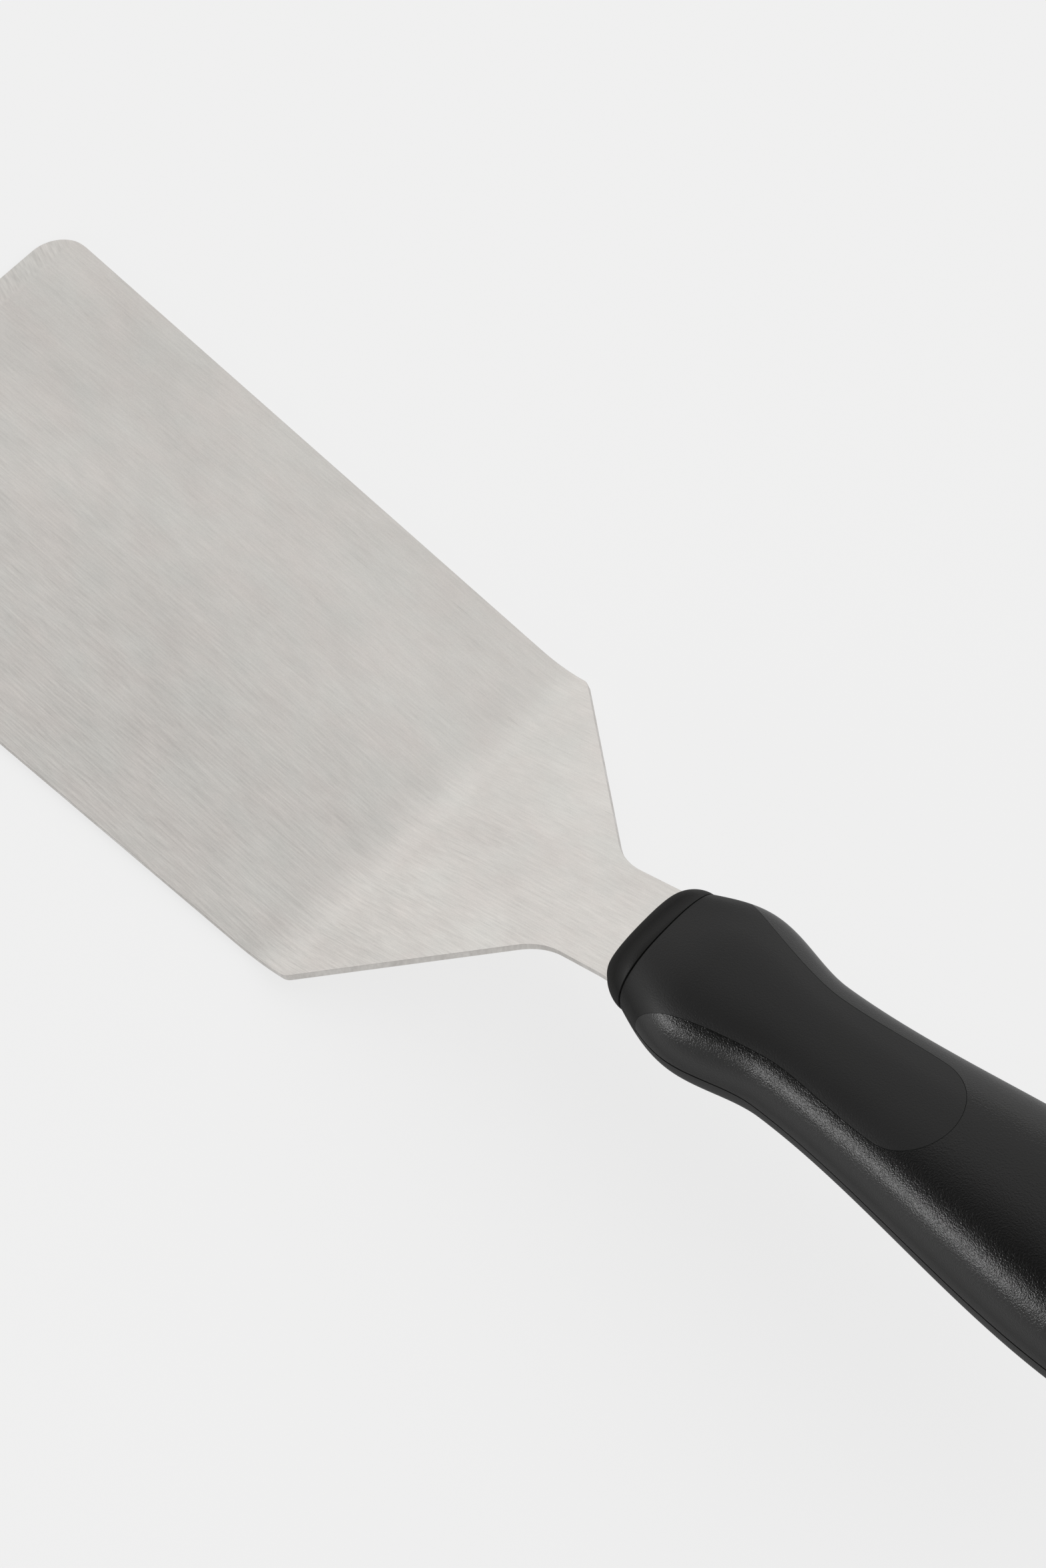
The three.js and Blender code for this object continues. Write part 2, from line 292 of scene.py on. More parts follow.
# %% Tube helper
def tube(sides, stations, place):
    """A closed bmesh over rings; place(angle, station) gives a point for each."""
    bm = bmesh.new()
    bmesh.ops.create_circle(bm, cap_ends=False, radius=1.0, segments=sides)
    edges = list(bm.edges)
    for _ in stations[1:]:
        grown = bmesh.ops.extrude_edge_only(bm, edges=edges)["geom"]
        edges = [g for g in grown if isinstance(g, bmesh.types.BMEdge)]
        lifted = [g for g in grown if isinstance(g, bmesh.types.BMVert)]
        bmesh.ops.translate(bm, verts=lifted, vec=(0, 0, 1))
    bmesh.ops.holes_fill(bm, edges=[e for e in bm.edges if e.is_boundary], sides=0)
    for vert in bm.verts:
        angle = math.atan2(vert.co.y, vert.co.x) % math.tau
        vert.co = place(angle, stations[round(vert.co.z)])
    bmesh.ops.recalc_face_normals(bm, faces=bm.faces)
    return bm


def spread(start, end, steps):
    """Evenly spaced values, both ends included."""
    return [start + (end - start) * i / steps for i in range(steps + 1)]


def make_object(name, bm):
    """A linked object from a finished bmesh, smooth all over."""
    mesh = bpy.data.meshes.new(name)
    for face in bm.faces:
        face.smooth = True
    bm.to_mesh(mesh)
    bm.free()
    piece = bpy.data.objects.new(name, mesh)
    scene.collection.objects.link(piece)
    return piece


print("tube helper ready")

# %% [markdown]
# ## Blade
# The outline of the sheet is a few corners, each with its radius. Half of it, read off as a width
# at every station, is enough. The front edge is ground thinner from above, and all the rims are
# broken with a narrow bevel, because a sheared edge that is rounded catches a thin line of light.


# %% Outline of the sheet
def rounded(corners, steps=14):
    """Points of a half outline: corners are (distance, half width, radius)."""
    points = []
    for i, (x, y, radius) in enumerate(corners):
        corner = Vector((x, y))
        if not radius:
            points.append(corner)
            continue
        back = (Vector(corners[i - 1][:2]) - corner).normalized()
        ahead = (Vector(corners[i + 1][:2]) - corner).normalized()
        half_turn = (math.pi - back.angle(ahead)) / 2
        centre = corner + (back + ahead).normalized() * radius / math.cos(half_turn)
        arm = corner + back * radius * math.tan(half_turn) - centre
        sweep = arm.angle_signed(corner + ahead * radius * math.tan(half_turn) - centre)
        for turn_angle in spread(0, -sweep, steps):
            points.append(centre + Matrix.Rotation(turn_angle, 2) @ arm)
    return points


tang_end = JOINT + TANG_LENGTH
outline = rounded([
    (0, 0, 0),
    (0, FRONT_HALF, FRONT_CORNER),
    (HEEL, HEEL_HALF, HEEL_CORNER),
    (NECK, NECK_HALF, NECK_FILLET),
    (NARROW_FROM, NECK_HALF, 0),
    (NARROW_TO, TANG_HALF, 0),
    (tang_end, TANG_HALF, TANG_CORNER),
    (tang_end, 0, 0),
])[1:-1]


def half_width(distance):
    """Half the sheet's width at a distance from the front edge."""
    for a, b in zip(outline, outline[1:]):
        if a.x <= distance <= b.x and b.x > a.x:
            return a.y + (b.y - a.y) * (distance - a.x) / (b.x - a.x)
    return outline[-1].y


print("outline points:", len(outline))

# %% Build the blade
STATION_GAP = 0.03 * MM
RIM_ANGLE = math.radians(50)
RIM_BEVEL = 0.1 * MM
SIDE_EDGE, FRONT_EDGE = 0.2, -0.8
marks = [p.x for p in outline] + [GRIND_WIDTH]
marks += spread(BEND_START, BEND_START + BEND_LENGTH, 28)
marks += spread(TANG_BEND, TANG_BEND + TANG_BEND_RADIUS * TANG_TURN, 10)
stations = []
for mark in sorted(marks):
    if not stations or mark - stations[-1] > STATION_GAP:
        stations.append(mark)


def sheet_corner(angle, distance):
    """One of the four corners of the sheet's section."""
    x, z, slope = sheet_place(distance)
    quarter = round(angle / (math.pi / 2)) % 4
    side = 1 if quarter in (0, 3) else -1
    up = -SHEET / 2
    if quarter in (0, 1):
        up = GRIND_EDGE + (SHEET - GRIND_EDGE) * min(distance / GRIND_WIDTH, 1.0) - SHEET / 2
    return Vector((x - up * math.sin(slope), side * half_width(distance), z + up * math.cos(slope)))


blade_bm = tube(4, stations, sheet_corner)
rims = [e for e in blade_bm.edges
        if len(e.link_faces) == 2 and e.calc_face_angle() > RIM_ANGLE]
bmesh.ops.bevel(blade_bm, geom=rims, offset=RIM_BEVEL, offset_type="OFFSET", segments=3,
                profile=0.5, affect="EDGES", material=-1, clamp_overlap=True)
for face in blade_bm.faces:
    is_edge = abs(face.normal.y) > SIDE_EDGE or face.normal.x < FRONT_EDGE
    face.material_index = 1 if is_edge else 0
across = blade_bm.loops.layers.uv.new("across_the_brush")
for face in blade_bm.faces:
    for loop in face.loops:
        loop[across].uv = (loop.vert.co.y / MM, loop.vert.co.x / MM)
blade = make_object("blade_sheet", blade_bm)
blade.modifiers.new("flat_faces_stay_flat", "WEIGHTED_NORMAL").keep_sharp = True
print("blade faces:", len(blade.data.polygons))

# %% [markdown]
# ## Handle form
# The outside of the handle is one flowing form: a joint, a guard for the finger, a waist, a palm
# swell and a butt that rounds away. The moulded pieces are cut from it, so their surfaces run into
# each other without a step. A fine groove half way down each side is where the mould parts.

# %% Sections of the handle
LENGTH = 123.78 * MM
SQUARENESS = 2.44
WIDTHS = ((0.0, 22.2), (11.5, 28.4), (27.6, 23.0), (87.0, 33.0))
HEIGHTS = ((0.0, 19.3), (11.5, 22.3), (27.6, 21.4), (87.0, 27.6))
GUARD, PALM = WIDTHS[1][0] * MM, WIDTHS[3][0] * MM
BUTT_SIDE, BUTT_TOP = 2.8, 1.8


def eased(table, distance):
    """Value between stations in millimetres: level at each one but the first."""
    reach = distance / MM
    if reach <= 0:
        return table[0][1] * MM
    for i, ((a, low), (b, high)) in enumerate(zip(table, table[1:])):
        if reach <= b:
            t = (reach - a) / (b - a)
            t = math.sin(t * math.pi / 2) if i == 0 else t * t * (3 - 2 * t)
            return (low + (high - low) * t) * MM
    return table[-1][1] * MM


def round_off(t, roundness):
    """1 where an end starts to round away, 0 at its tip."""
    return max(0.0, 1 - t ** roundness) ** (1 / roundness)


def handle_size(distance):
    """Width and height of the handle at a distance from the joint."""
    t = max(0.0, (distance - PALM) / (LENGTH - PALM))
    width = eased(WIDTHS, distance) * round_off(t, BUTT_SIDE)
    return width, eased(HEIGHTS, distance) * round_off(t, BUTT_TOP)


print("palm size in mm:", [round(v / MM, 1) for v in handle_size(PALM)])

# %% Skin of the handle
LEAN = math.tan(math.radians(9.0))
LIP = 0.08 * MM
PARTING = 0.20 * MM
PARTING_HALF = 0.14 * MM
RING_SIDES = 160
CROWDING = 0.4
NEAR_TIP = 0.99999
UNDER_PAD = 59.5 * MM


def ring_point(angle, width, height):
    """Point of a rounded-box ring as (across, up); the points crowd at the two sides."""
    angle -= CROWDING * math.sin(2 * angle)
    c, s = math.cos(angle), math.sin(angle)
    squared = abs(2 * c / width) ** SQUARENESS + abs(2 * s / height) ** SQUARENESS
    reach = squared ** (-1 / SQUARENESS)
    return reach * c, reach * s


def handle_point(angle, distance, depth=0.0, parting=PARTING):
    """Point on the handle's form, or some depth under it."""
    if distance < LIP:
        depth += LIP - math.sqrt(LIP ** 2 - (LIP - max(distance, 0.0)) ** 2)
    width, height = handle_size(distance)
    y, z = ring_point(angle, width - 2 * depth, height - 2 * depth)
    y -= math.copysign(parting * max(0.0, 1 - abs(z) / PARTING_HALF), y)
    lean = LEAN * min(1.0, max(0.0, 1 - distance / GUARD))
    return HANDLE @ Vector((distance + z * lean, y, z))


def handle_form():
    """The whole handle behind the joint as one closed form."""
    stations = [LIP * (1 - math.cos(t)) for t in spread(0, math.pi / 2, 5)]
    stations += spread(LIP, PALM, 110)[1:]
    butt = [math.sin(t) for t in spread(0, math.pi / 2, 44)[1:-1]] + [NEAR_TIP]
    stations += [PALM + (LENGTH - PALM) * share for share in butt]
    return tube(RING_SIDES, stations, handle_point)


def inner_core(depth, front):
    """The core under the soft grip, with the spigot that carries the collar."""
    def core_point(angle, distance):
        return handle_point(angle, distance, depth, 0.0)
    return tube(RING_SIDES, [front] + spread(0, UNDER_PAD, 60), core_point)


print("ring of", RING_SIDES, "points")

# %% [markdown]
# ## Cutting tools
# The soft grip and the core meet along a seam that is a plain curve when seen from above. A flat
# outline extruded upwards is the cutter for both: the core loses a little more than the grip fills,
# and what is left between them is the seam. Boolean modifiers make the cuts.

# %% Outline of the soft grip
RING_LENGTH = 4.1 * MM
RING_EDGE = 14.2 * MM
PAD_WAIST, PAD_WAIST_HALF = 29.7 * MM, 7.1 * MM
PAD_BULGE, PAD_BULGE_HALF = 48.9 * MM, 8.2 * MM
PAD_END = 57.3 * MM


def grip_zone(grow=0.0):
    """Cutter over the ring and the waisted pad, grown for the core's side of the seam."""
    ring_end, waist, bulge = RING_LENGTH + grow, PAD_WAIST_HALF + grow, PAD_BULGE_HALF + grow
    arrive, drop = (PAD_WAIST - ring_end) / 4, (RING_EDGE - waist) / 3
    swing = (PAD_BULGE - PAD_WAIST) / 3
    flank = interpolate_bezier(
        Vector((ring_end, RING_EDGE)), Vector((ring_end, RING_EDGE - drop)),
        Vector((PAD_WAIST - arrive, waist)), Vector((PAD_WAIST, waist)), 40)
    flank += interpolate_bezier(
        Vector((PAD_WAIST, waist)), Vector((PAD_WAIST + swing, waist)),
        Vector((PAD_BULGE - swing, bulge)), Vector((PAD_BULGE, bulge)), 24)[1:]
    nose = PAD_END + grow - PAD_BULGE
    flank += [Vector((PAD_BULGE + nose * math.sin(t), bulge * math.cos(t)))
              for t in spread(0, math.pi / 2, 24)[1:]]
    flank = [Vector((-RING_EDGE, 2 * RING_EDGE)), Vector((ring_end, 2 * RING_EDGE))] + flank
    bm = bmesh.new()
    outline_points = flank + [Vector((p.x, -p.y)) for p in reversed(flank[:-1])]
    base = bm.faces.new([bm.verts.new((p.x, p.y, -2 * RING_EDGE)) for p in outline_points])
    top = bmesh.ops.extrude_face_region(bm, geom=[base])["geom"]
    lifted = [g for g in top if isinstance(g, bmesh.types.BMVert)]
    bmesh.ops.translate(bm, verts=lifted, vec=(0, 0, 4 * RING_EDGE))
    bmesh.ops.recalc_face_normals(bm, faces=bm.faces)
    bmesh.ops.transform(bm, verts=bm.verts, matrix=HANDLE)
    return bm


print("pad reaches", round(PAD_END / MM, 1), "mm behind the joint")

# %% Boolean helper
MERGE = 0.002 * MM
CREASE = math.radians(38)


def cut(piece, tool_bm, operation="DIFFERENCE"):
    """Cuts, joins or trims a piece with a tool, and keeps the result as its mesh."""
    tool = make_object("tool", tool_bm)
    step = piece.modifiers.new("cut", "BOOLEAN")
    step.operation, step.solver, step.object = operation, "EXACT", tool
    ready = piece.evaluated_get(bpy.context.evaluated_depsgraph_get())
    old, piece.data = piece.data, bpy.data.meshes.new_from_object(ready)
    piece.modifiers.clear()
    piece.data.name = piece.name
    for spare in (old, tool.data):
        bpy.data.meshes.remove(spare)


def crease(piece):
    """Marks the edges that turn more than an angle, so that only they look sharp."""
    bm = bmesh.new()
    bm.from_mesh(piece.data)
    bmesh.ops.remove_doubles(bm, verts=bm.verts, dist=MERGE)
    for edge in bm.edges:
        edge.smooth = len(edge.link_faces) == 2 and edge.calc_face_angle() < CREASE
    bm.to_mesh(piece.data)
    bm.free()
    print(piece.name, "faces:", len(piece.data.polygons))


# %% Slot for the tang
FIT = 0.3 * MM


def tang_slot():
    """The sheet grown a little on every side, to cut its own slot."""
    def grown(angle, distance):
        x, z, slope = sheet_place(distance)
        quarter = round(angle / (math.pi / 2)) % 4
        up = (SHEET / 2 + FIT) * (1 if quarter in (0, 1) else -1)
        side = (half_width(distance) + FIT) * (1 if quarter in (0, 3) else -1)
        return Vector((x - up * math.sin(slope), side, z + up * math.cos(slope)))
    return tube(4, [d for d in stations if d > HEEL], grown)


print("slot gap in mm:", FIT / MM)

# %% [markdown]
# ## Front collar
# The collar closes the handle in front: a dome that falls from the joint's section to a narrow lip
# round the steel. It is a separate moulding, so it doesn't sit perfectly true: the slit between it
# and the grip is a little wider on the near side than on the far one.

# %% Build the collar
COLLAR_LENGTH = 5.9 * MM
COLLAR_GAP = 0.20 * MM
COLLAR_SKEW = 0.009
COLLAR_NOSE = (13.0, 3.0)
COLLAR_GROWTH = (9.2, 16.3)
COLLAR_ROUNDNESS = (1.75, 1.9)
DOME_STOP = math.pi / 2 - 0.07
RIM_START = 0.2
SOFT_DEPTH = 2.2 * MM
SOCKET_FRONT = -2.1 * MM


def collar_point(angle, station):
    """Point on the collar; a station is (share of the length, inset of the rim)."""
    share, inset = station
    width, height = (
        (nose + growth * round_off(share, roundness)) * MM - 2 * inset
        for nose, growth, roundness in zip(COLLAR_NOSE, COLLAR_GROWTH, COLLAR_ROUNDNESS))
    y, z = ring_point(angle, width, height)
    back = COLLAR_GAP + (COLLAR_LENGTH - COLLAR_GAP) * share
    return HANDLE @ Vector((-back + z * LEAN + COLLAR_SKEW * y * (1 - share), y, z))


collar_stations = [(math.cos(t), 0.0) for t in spread(0, DOME_STOP, 26)]
rim_share = LIP / COLLAR_LENGTH
collar_stations += [(rim_share * (1 - math.sin(t)), LIP * (1 - math.cos(t)))
                    for t in spread(RIM_START, math.pi / 2, 5)]
collar = make_object("front_collar_dome", tube(RING_SIDES, collar_stations, collar_point))
cut(collar, inner_core(SOFT_DEPTH, SOCKET_FRONT))
cut(collar, tang_slot())
crease(collar)

# %% [markdown]
# ## Hard core
# The core carries everything: the tang runs through it, the pad is moulded over it and the butt has
# a hole to hang the turner by. The hole's tool is a spool whose flared ends follow the surface, so
# the rim is softly rounded although the butt falls away round it.

# %% Hang hole tool
HOLE_PLACE = 108.0 * MM
HOLE_RADIUS = 5.0 * MM
HOLE_FLARE = 1.1 * MM
FLARE_TURN = 1.35
HOLE_SIDES = 72
BRIM_WIDER, BRIM_LOW = 0.2 * MM, -1.5 * MM


def hang_hole():
    """Bore down through the butt with flared ends."""
    flare = [(HOLE_FLARE * (1 - math.cos(t)), HOLE_FLARE * (1 - math.sin(t)))
             for t in spread(0, FLARE_TURN, 8)]
    ends = flare + [(flare[-1][0] + BRIM_WIDER, BRIM_LOW)]
    spool = [(-1, wide, low) for wide, low in reversed(ends)]
    spool += [(1, wide, low) for wide, low in ends]

    def spool_point(angle, station):
        side, wide, low = station
        reach = HOLE_RADIUS + wide
        u, y = HOLE_PLACE + reach * math.cos(angle), reach * math.sin(angle)
        width, height = handle_size(u)
        top = height / 2 * (1 - abs(2 * y / width) ** SQUARENESS) ** (1 / SQUARENESS)
        return HANDLE @ Vector((u, y, side * (top - low)))
    return tube(HOLE_SIDES, spool, spool_point)


print("hang hole", 2 * HOLE_RADIUS / MM, "mm across")

# %% Build the core
SEAM = 0.07 * MM
CORE_DEPTH = 2.45 * MM
SPIGOT_FRONT = -1.8 * MM
core = make_object("handle_body", handle_form())
cut(core, grip_zone(SEAM))
cut(core, inner_core(CORE_DEPTH, SPIGOT_FRONT), "UNION")
cut(core, tang_slot())
cut(core, hang_hole())
crease(core)

# %% [markdown]
# ## Soft grip
# The grip is one moulding of softer plastic: a ring behind the collar and a waisted pad under the
# finger, above and below. It is what the outline keeps of the handle's form, hollowed over the
# core. A thin lip in front of the ring sits behind the collar, so no light shows through the slit.

# %% Lip in the slit
LIP_DEPTH = 0.45 * MM
LIP_CLEARANCE = 0.01 * MM
LIP_REACH = 1.0 * MM


def slit_lip():
    """A plate a little smaller than the joint, from the collar's back into the ring."""
    def lip_point(angle, station):
        width, height = handle_size(0.0)
        y, z = ring_point(angle, width - 2 * LIP_DEPTH, height - 2 * LIP_DEPTH)
        front = COLLAR_SKEW * y - COLLAR_GAP + LIP_CLEARANCE
        return HANDLE @ Vector(((LIP_REACH if station else front) + z * LEAN, y, z))
    return tube(RING_SIDES, [0, 1], lip_point)


print("lip", LIP_DEPTH / MM, "mm under the surface")

# %% Build the grip
grip = make_object("soft_grip_pad", handle_form())
cut(grip, grip_zone(), "INTERSECT")
cut(grip, slit_lip(), "UNION")
cut(grip, inner_core(SOFT_DEPTH, SPIGOT_FRONT))
crease(grip)

# %% [markdown]
# ## Brushed steel
# The sheet was brushed along its length, so its gloss is tight along the lines and wide across
# them: that is anisotropy, steered by the blade's own UV map. Long thin noise gives the lines, slow
# noise the faint clouds of rolled stainless. The ground strip at the front has short streaks at a
# slant.


# %% Finish helper
def new_finish(name):
    """A material with its node tree and its shader."""
    finish = bpy.data.materials.new(name)
    finish.use_nodes = True
    return finish, finish.node_tree, finish.node_tree.nodes["Principled BSDF"]


def add_noise(tree, place, stretch, scale, detail=3.0, roughness=0.55, turn=0.0):
    """Noise over the object's own coordinates, stretched and turned about the vertical."""
    mapping = add_node(tree, "ShaderNodeMapping", {
        "Scale": [1 / s for s in stretch], "Rotation": (0.0, 0.0, turn)}, vector_type="TEXTURE")
    noise = add_node(tree, "ShaderNodeTexNoise", {
        "Scale": scale, "Detail": detail, "Roughness": roughness})
    wire(
        tree,
        (place, mapping.inputs["Vector"]),
        (mapping.outputs["Vector"], noise.inputs["Vector"]),
    )
    return noise.outputs["Fac"]


def add_up(tree, parts, middle=0.5):
    """Sum of (socket, weight) parts about a middle, each measured from the middle of its noise."""
    total = None
    for socket, weight in parts:
        centred = add_node(tree, "ShaderNodeMath", {1: -0.5}, operation="ADD")
        weighed = add_node(tree, "ShaderNodeMath", {1: weight, 2: middle if total is None else 0.0},
                           operation="MULTIPLY_ADD")
        wire(tree, (socket, centred.inputs[0]), (centred.outputs["Value"], weighed.inputs[0]))
        if total is not None:
            wire(tree, (total, weighed.inputs[2]))
        total = weighed.outputs["Value"]
    return total


print("finish helpers ready")

# %% Lines and clouds of the steel
steel, metal, shader = new_finish("brushed_stainless")
coords = add_node(metal, "ShaderNodeTexCoord").outputs["Object"]
lines = add_noise(metal, coords, (0.055, 1.0, 0.055), 3000.0, 3.0, 0.72)
dark_scratch = add_noise(metal, coords, (0.04, 1.0, 0.04), 3600.0, 1.0, 0.5)
grain = add_noise(metal, coords, (0.6, 1.0, 0.6), 6500.0, 1.0, 0.5)
mottle = add_noise(metal, coords, (0.5, 1.0, 0.5), 190.0, 4.0, 0.6)
clouds = add_noise(metal, coords, (0.6, 1.0, 0.6), 34.0, 3.0, 0.5)
streaks = add_noise(metal, coords, (0.05, 1.0, 1.0), 1900.0, 3.0, 0.6, math.radians(-20))

place_parts = add_node(metal, "ShaderNodeSeparateXYZ")
near_side = add_node(metal, "ShaderNodeMapRange", {
    "From Min": 0.015, "From Max": -0.042, "To Min": 0.72, "To Max": 1.70})
line_depth = add_node(metal, "ShaderNodeMath", operation="MULTIPLY")
line_middle = add_node(metal, "ShaderNodeMath", {1: -0.5}, operation="ADD")
scratch = add_node(metal, "ShaderNodeMapRange", {
    "From Min": 0.70, "From Max": 0.78, "To Min": 0.0, "To Max": -0.25})
cloudy = add_up(metal, [(mottle, 0.60), (clouds, 0.70), (grain, 0.45)])
with_lines = add_node(metal, "ShaderNodeMath", operation="ADD")
brushed = add_node(metal, "ShaderNodeMath", operation="ADD")
wire(
    metal,
    (coords, place_parts.inputs["Vector"]),
    (place_parts.outputs["Y"], near_side.inputs["Value"]),
    (lines, line_middle.inputs[0]),
    (line_middle.outputs["Value"], line_depth.inputs[0]),
    (near_side.outputs["Result"], line_depth.inputs[1]),
    (cloudy, with_lines.inputs[0]),
    (line_depth.outputs["Value"], with_lines.inputs[1]),
    (dark_scratch, scratch.inputs["Value"]),
    (with_lines.outputs["Value"], brushed.inputs[0]),
    (scratch.outputs["Result"], brushed.inputs[1]),
)
print("noise layers ready:", len(metal.nodes), "nodes")

# %% Steel of the blade
STRIP_FROM, STRIP_TO = 3.9 * MM, 4.7 * MM
ground = add_up(metal, [(streaks, 1.5), (clouds, 0.5)], 0.36)
strip = add_node(metal, "ShaderNodeMapRange", {
    "From Min": blade_front + STRIP_FROM, "From Max": blade_front + STRIP_TO,
    "To Min": 1.0, "To Max": 0.0})
finish_mix = add_node(metal, "ShaderNodeMix", data_type="FLOAT")
tone = add_node(metal, "ShaderNodeValToRGB")
tone.color_ramp.elements[0].color = (0.58, 0.58, 0.58, 1.0)
tone.color_ramp.elements[1].color = (0.82, 0.82, 0.82, 1.0)
tints = add_noise(metal, coords, (0.6, 1.0, 0.6), 120.0, 3.0, 0.6)
tint = add_node(metal, "ShaderNodeValToRGB")
tint.color_ramp.elements[0].position = 0.35
tint.color_ramp.elements[0].color = (1.0, 0.955, 0.915, 1.0)
tint.color_ramp.elements[1].position = 0.65
tint.color_ramp.elements[1].color = (0.985, 0.965, 0.925, 1.0)
tinted = add_node(metal, "ShaderNodeMix", {"Factor": 1.0}, data_type="RGBA", blend_type="MULTIPLY")
gloss = add_node(metal, "ShaderNodeMapRange", {"To Min": 0.34, "To Max": 0.42})
grooves = add_node(metal, "ShaderNodeBump", {"Strength": 0.06, "Distance": 0.02 * MM})
along = add_node(metal, "ShaderNodeTangent", direction_type="UV_MAP", uv_map="across_the_brush")
shader.inputs["Metallic"].default_value = 1.0
shader.inputs["Anisotropic"].default_value = 0.5
wire(
    metal,
    (place_parts.outputs["X"], strip.inputs["Value"]),
    (strip.outputs["Result"], finish_mix.inputs["Factor"]),
    (brushed.outputs["Value"], finish_mix.inputs["A"]),
    (ground, finish_mix.inputs["B"]),
    (finish_mix.outputs["Result"], tone.inputs["Fac"]),
    (tints, tint.inputs["Fac"]),
    (tone.outputs["Color"], tinted.inputs["A"]),
    (tint.outputs["Color"], tinted.inputs["B"]),
    (tinted.outputs["Result"], shader.inputs["Base Color"]),
    (mottle, gloss.inputs["Value"]),
    (gloss.outputs["Result"], shader.inputs["Roughness"]),
    (lines, grooves.inputs["Height"]),
    (grooves.outputs["Normal"], shader.inputs["Normal"]),
    (along.outputs["Tangent"], shader.inputs["Tangent"]),
)
blade.data.materials.append(steel)
print("steel nodes:", len(metal.nodes))

# %% Sheared edge of the blade
sheared, edge_tree, edge_shader = new_finish("sheared_edge")
edge_place = add_node(edge_tree, "ShaderNodeTexCoord").outputs["Object"]
tears = add_noise(edge_tree, edge_place, (1.0, 1.0, 0.25), 1600.0, 3.0)
edge_tone = add_node(edge_tree, "ShaderNodeValToRGB")
edge_tone.color_ramp.elements[0].color = (0.46, 0.44, 0.42, 1.0)
edge_tone.color_ramp.elements[1].color = (0.70, 0.68, 0.65, 1.0)
burr = add_noise(edge_tree, edge_place, (1.0, 1.0, 1.0), 150.0, 2.0)
edge_gloss = add_node(edge_tree, "ShaderNodeMapRange", {
    "From Min": 0.42, "From Max": 0.60, "To Min": 0.55, "To Max": 0.32})
edge_shader.inputs["Metallic"].default_value = 1.0
wire(
    edge_tree,
    (tears, edge_tone.inputs["Fac"]),
    (edge_tone.outputs["Color"], edge_shader.inputs["Base Color"]),
    (burr, edge_gloss.inputs["Value"]),
    (edge_gloss.outputs["Result"], edge_shader.inputs["Roughness"]),
)
blade.data.materials.append(sheared)
print("edge nodes:", len(edge_tree.nodes))

# %% [markdown]
# ## Black plastics
# All three mouldings are near-black. What tells them apart is their grain: the hard core came out
# of a spark-eroded mould and sparkles in the bright band, the soft grip and the collar are dull and
# powdery. So they share one recipe with different grain and gloss. The gloss fades where the
# surface is seen at a slant, because there the bumps of a fine texture hide each other. It fades
# less on the far side, so that the far flank keeps its bright rim. The parting groove has painted
# shade: a darker, dull finish of its own that hardly reflects, so that it reads as a fine dark line.

# %% Moulded plastic recipe
SLANT_DULL, FAR_DULL = 0.52, 0.20
SHADE_RANGE = (0.88, 1.12)


def moulded_plastic(name, colour, gloss_range, grain, depth, shine):
    """Near-black plastic: grain and depth are the size and the height of its texture."""
    finish, tree, shell = new_finish(name)
    surface = add_node(tree, "ShaderNodeTexCoord")
    here = surface.outputs["Object"]
    grit = add_noise(tree, here, (1.0, 1.0, 1.0), 1 / grain, 1.0, 1.0)
    wear = add_noise(tree, here, (1.0, 1.0, 1.0), 90.0, 4.0)
    shade = add_node(tree, "ShaderNodeValToRGB")
    for end, factor in zip(shade.color_ramp.elements, SHADE_RANGE):
        end.color = (*(c * factor for c in colour), 1.0)
    gloss = add_node(tree, "ShaderNodeMapRange", {
        "To Min": gloss_range[0], "To Max": gloss_range[1]})
    slant = add_node(tree, "ShaderNodeLayerWeight", {"Blend": 0.5})
    duller = add_node(tree, "ShaderNodeMapRange", {
        "From Min": 0.25, "From Max": 0.60, "To Min": 0.0})
    outwards = add_node(tree, "ShaderNodeSeparateXYZ")
    far_side = add_node(tree, "ShaderNodeMapRange", {
        "From Min": 0.15, "From Max": 0.60, "To Min": SLANT_DULL, "To Max": FAR_DULL})
    dulled = add_node(tree, "ShaderNodeMath", operation="ADD")
    bumps = add_node(tree, "ShaderNodeBump", {"Strength": 1.0, "Distance": depth})
    shell.inputs["Specular IOR Level"].default_value = shine
    wire(
        tree,
        (wear, shade.inputs["Fac"]),
        (shade.outputs["Color"], shell.inputs["Base Color"]),
        (wear, gloss.inputs["Value"]),
        (surface.outputs["Normal"], outwards.inputs["Vector"]),
        (outwards.outputs["Y"], far_side.inputs["Value"]),
        (far_side.outputs["Result"], duller.inputs["To Max"]),
        (slant.outputs["Facing"], duller.inputs["Value"]),
        (gloss.outputs["Result"], dulled.inputs[0]),
        (duller.outputs["Result"], dulled.inputs[1]),
        (dulled.outputs["Value"], shell.inputs["Roughness"]),
        (grit, bumps.inputs["Height"]),
        (bumps.outputs["Normal"], shell.inputs["Normal"]),
    )
    return finish


print("plastic recipe ready")
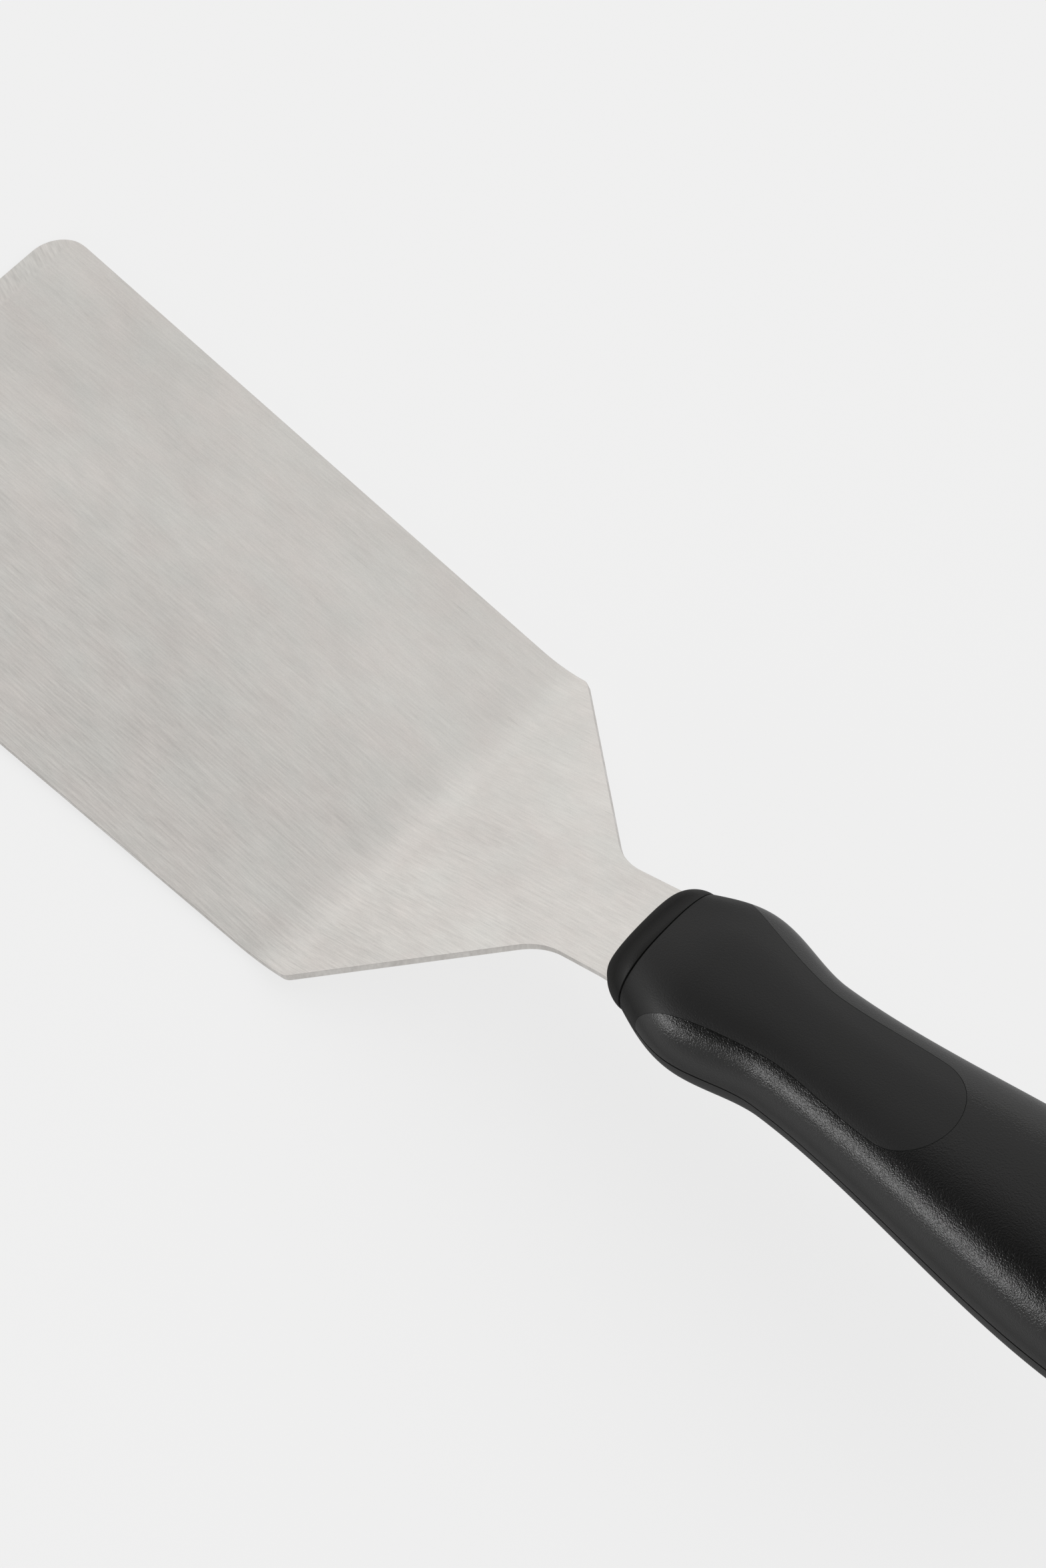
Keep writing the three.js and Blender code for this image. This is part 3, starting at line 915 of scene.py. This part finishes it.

# %% Finish the mouldings
# Half height of the band about the parting line that gets painted shade.
PAINTED_SHADE_BAND = 0.21 * MM
for piece in (core, grip, collar):
    piece.data.materials.clear()
for piece, name, colour, gloss_range, grain_size, depth, shine in (
    (core, "hard_black", (0.0052, 0.0052, 0.0051), (0.19, 0.25), 0.30 * MM, 0.062 * MM, 0.32),
    # Painted shade for the parting groove: darker colour, very rough, almost no shine.
    (core, "groove_painted_shade", (0.0030, 0.0030, 0.0030), (0.80, 0.90), 0.42 * MM, 0.02 * MM, 0.05),
    (grip, "soft_black", (0.0075, 0.0075, 0.0074), (0.45, 0.53), 0.30 * MM, 0.045 * MM, 0.31),
    (collar, "collar_black", (0.0070, 0.0068, 0.0065), (0.50, 0.58), 0.30 * MM, 0.040 * MM, 0.24),
):
    piece.data.materials.append(
        moulded_plastic(name, colour, gloss_range, grain_size, depth, shine))
to_handle = HANDLE.inverted()
# Faces in the parting band, outside the hang hole, take the groove's painted shade.
for face in core.data.polygons:
    u, y, z = to_handle @ face.center
    in_hole = math.hypot(u - HOLE_PLACE, y) < HOLE_RADIUS + HOLE_FLARE
    face.material_index = 1 if abs(z) < PAINTED_SHADE_BAND and not in_hole else 0
print("plastics:", [o.data.materials[0].name for o in (core, grip, collar)])

# %% [markdown]
# ## Flags on the lamps
# In a studio a black card, called a flag, keeps a lamp off part of the set. Light linking does the
# same here: the two strips light the plastics alone, so the steel and the paper keep their even
# tone.

# %% Flag the strip lights
lit_by_strips = bpy.data.collections.new("lit_by_strips")
for piece in (core, grip, collar):
    lit_by_strips.objects.link(piece)
for lamp in strips:
    lamp.light_linking.receiver_collection = lit_by_strips

# %% [markdown]
# ## Hand over to the frame
# Each piece now stands for its CAD node and rides on the one rigid body. The box of the finished
# model is printed beside the box of the CAD model, where one can see whether anything sticks out.

# %% Replace the nodes
for piece, node, slot in (
    (blade, "blade", "blade_steel"),
    (collar, "front_collar", "collar_plastic"),
    (core, "handle_core", "core_plastic"),
    (grip, "soft_grip", "grip_rubber"),
):
    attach(piece, "root")
    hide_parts(node)

# %% Print the two boxes
new_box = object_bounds()
sizes = {"cad": [list(map(float, c)) for c in cad_box], "visual": [list(map(float, c)) for c in new_box]}
for name, corners in sizes.items():
    print(name, [[round(v / MM, 3) for v in c] for c in corners])
